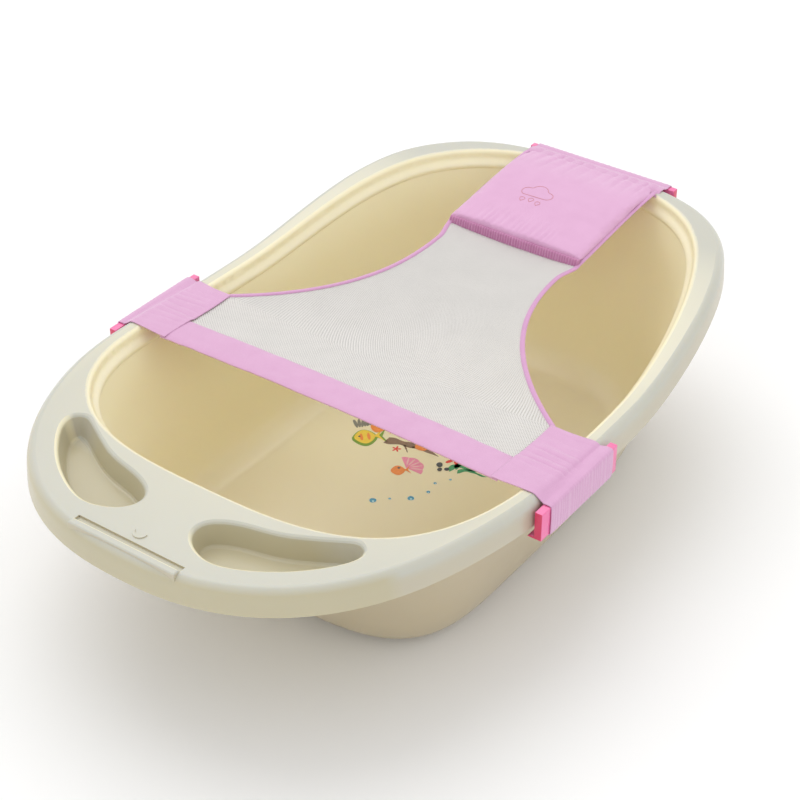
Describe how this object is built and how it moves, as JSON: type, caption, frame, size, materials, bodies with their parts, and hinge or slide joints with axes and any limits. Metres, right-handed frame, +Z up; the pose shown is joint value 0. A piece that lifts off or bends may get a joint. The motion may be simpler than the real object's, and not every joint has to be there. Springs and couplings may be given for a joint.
{
  "type": "baby bathtub",
  "caption": "Oval moulded baby bath with a soap-tray deck at the foot and a hammock net, padded at the head, clipped across the rim.",
  "frame": {"origin": "centre of the bounding box's bottom, on the ground plane under the pads", "axes": "+X from the foot end with the soap trays to the head end, +Y to the tub's left side, +Z up"},
  "size_m": [0.8327, 0.5368, 0.2379],
  "materials": {
    "tub_plastic": "smooth glossy polypropylene",
    "clip_plastic": "smooth hot pink plastic",
    "pink_fabric": "plain woven, slightly shiny",
    "binding_fabric": "folded binding tape and gathered seam",
    "white_mesh": "fine knitted mesh",
    "pillow_foam": "open-cell foam",
    "pad_rubber": "matte rubber",
    "plug_rubber": "matte rubber",
    "seat_plastic": "smooth plastic"
  },
  "bodies": {
    "tub_and_net": {"tub_shell": "tub_plastic", "drain_seat": "seat_plastic", "pad_foot_left": "pad_rubber", "pad_foot_right": "pad_rubber", "pad_head_left": "pad_rubber", "pad_head_right": "pad_rubber", "net_mesh": "white_mesh", "hem_band": "pink_fabric", "side_band_left": "pink_fabric", "binding_left": "binding_fabric", "side_band_right": "pink_fabric", "binding_right": "binding_fabric", "pillow_cover": "pink_fabric", "pillow_foam": "pillow_foam", "pillow_seam": "binding_fabric", "head_band": "pink_fabric"},
    "left_clip": {"clip_left": "clip_plastic", "clip_sleeve_left": "pink_fabric"},
    "right_clip": {"clip_right": "clip_plastic", "clip_sleeve_right": "pink_fabric"},
    "head_clip": {"clip_head": "clip_plastic", "clip_sleeve_head": "pink_fabric"},
    "plug": {"drain_plug": "plug_rubber"}
  },
  "joints": [
    {"name": "left_clip_fold", "type": "hinge", "parent": "tub_and_net", "child": "left_clip", "pos_m": [-0.0688, 0.2594, 0.18877], "axis": [1, 0, 0], "range_deg": [0, 90]},
    {"name": "right_clip_fold", "type": "hinge", "parent": "tub_and_net", "child": "right_clip", "pos_m": [-0.0688, -0.2594, 0.18877], "axis": [-1, 0, 0], "range_deg": [0, 90]},
    {"name": "head_clip_fold", "type": "hinge", "parent": "tub_and_net", "child": "head_clip", "pos_m": [0.4074, 0, 0.2255], "axis": [0, -1, 0], "range_deg": [0, 90]},
    {"name": "plug_lift", "type": "slide", "parent": "tub_and_net", "child": "plug", "axis": [0, 0, 1], "range_m": [0, 0.06]}
  ]
}
